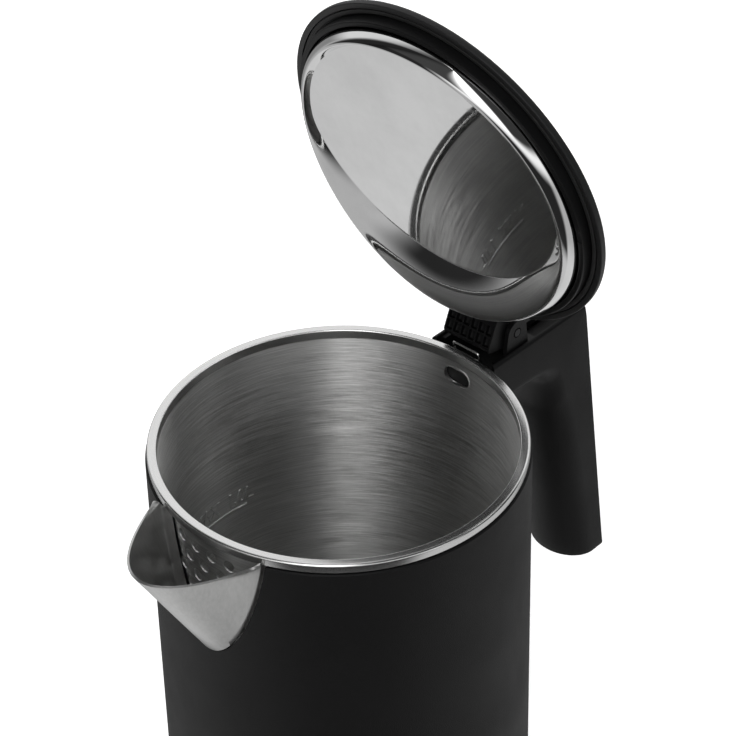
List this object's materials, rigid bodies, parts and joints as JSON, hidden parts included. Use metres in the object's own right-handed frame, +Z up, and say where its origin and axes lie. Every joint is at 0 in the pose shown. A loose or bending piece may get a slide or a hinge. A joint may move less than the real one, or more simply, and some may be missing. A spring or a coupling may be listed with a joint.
{
  "type": "electric kettle",
  "caption": "Cordless electric kettle: straight double-walled jug with a V spout, steel pot, free-ended handle and a sprung lid standing open, on a round power base.",
  "frame": {"origin": "on the jug's axis at table level, at the middle of the base's flat underside", "axes": "+Z up along the jug's axis, -X towards the spout, +X towards the handle"},
  "size_m": [0.2139, 0.136, 0.3377],
  "materials": {
    "matte_black": "fine matte, soft-touch black",
    "satin_black": "satin moulded black",
    "satin_steel": "satin rolled rim",
    "brushed_steel": "brushed round the axis",
    "polished_steel": "mirror polished sheet",
    "spring_steel": "drawn wire and screws",
    "aluminium": "cast and rolled, plain",
    "brass": "bright contact brass",
    "seal_rubber": "silicone and cord sleeve rubber",
    "foot_rubber": "soft grey-black rubber",
    "inner_plastic": "plain moulded inner plastic"
  },
  "bodies": {
    "base": {"base_housing": "matte_black", "base_bottom_cover": "matte_black", "base_foot_1": "foot_rubber", "base_foot_2": "foot_rubber", "base_foot_3": "foot_rubber", "base_foot_4": "foot_rubber", "base_screw_1": "spring_steel", "base_screw_2": "spring_steel", "base_screw_3": "spring_steel", "cord_gland": "seal_rubber", "base_connector": "satin_black", "connector_pin": "brass", "connector_ring": "brass"},
    "coupler": {"coupler_socket": "inner_plastic"},
    "jug": {"outer_shell": "matte_black", "rim_ring": "satin_steel", "steel_pot": "brushed_steel", "spout": "brushed_steel", "heating_plate": "aluminium", "heating_element": "aluminium", "control_unit": "inner_plastic", "steam_duct": "inner_plastic", "bottom_cover": "matte_black", "switch_pin": "spring_steel", "handle_body": "matte_black", "grip_back_cover": "matte_black", "handle_screw_left": "spring_steel", "handle_screw_right": "spring_steel", "hinge_frame": "satin_black", "hinge_pin": "spring_steel", "lid_spring": "spring_steel", "button_spring": "spring_steel"},
    "lid": {"lid_cap": "matte_black", "lid_carrier": "satin_black", "lid_seal": "seal_rubber", "lid_pan": "polished_steel", "lid_hinge_block": "satin_black"},
    "button": {"lid_button": "satin_black"},
    "latch": {"lid_latch": "satin_black"},
    "switch": {"switch_lever": "satin_black"}
  },
  "joints": [
    {"name": "jug_lift", "type": "slide", "parent": "base", "child": "coupler", "axis": [0, 0, 1], "range_m": [0, 0.05]},
    {"name": "jug_swivel", "type": "hinge", "parent": "coupler", "child": "jug", "pos_m": [0, 0, 0.017], "axis": [0, 0, 1], "continuous": true},
    {"name": "lid_hinge", "type": "hinge", "parent": "jug", "child": "lid", "pos_m": [0.075, 0, 0.2055], "axis": [0, 1, 0], "range_deg": [-76.5, 0], "stiffness_Nm_per_rad": 0.05, "springref_deg": 57.3},
    {"name": "button_press", "type": "slide", "parent": "jug", "child": "button", "axis": [0, 0, -1], "range_m": [0, 0.0025], "stiffness_N_per_m": 400, "springref_m": -0.002, "deforming": ["button_spring"]},
    {"name": "latch_slide", "type": "slide", "parent": "jug", "child": "latch", "axis": [1, 0, 0], "range_m": [0, 0.002]},
    {"name": "switch_rock", "type": "hinge", "parent": "jug", "child": "switch", "pos_m": [0.0565, 0, 0.032], "axis": [0, 1, 0], "range_deg": [0, 12]}
  ],
  "couplings": [
    {"joint": "latch_slide", "follows": "button_press", "ratio": 0.8}
  ]
}
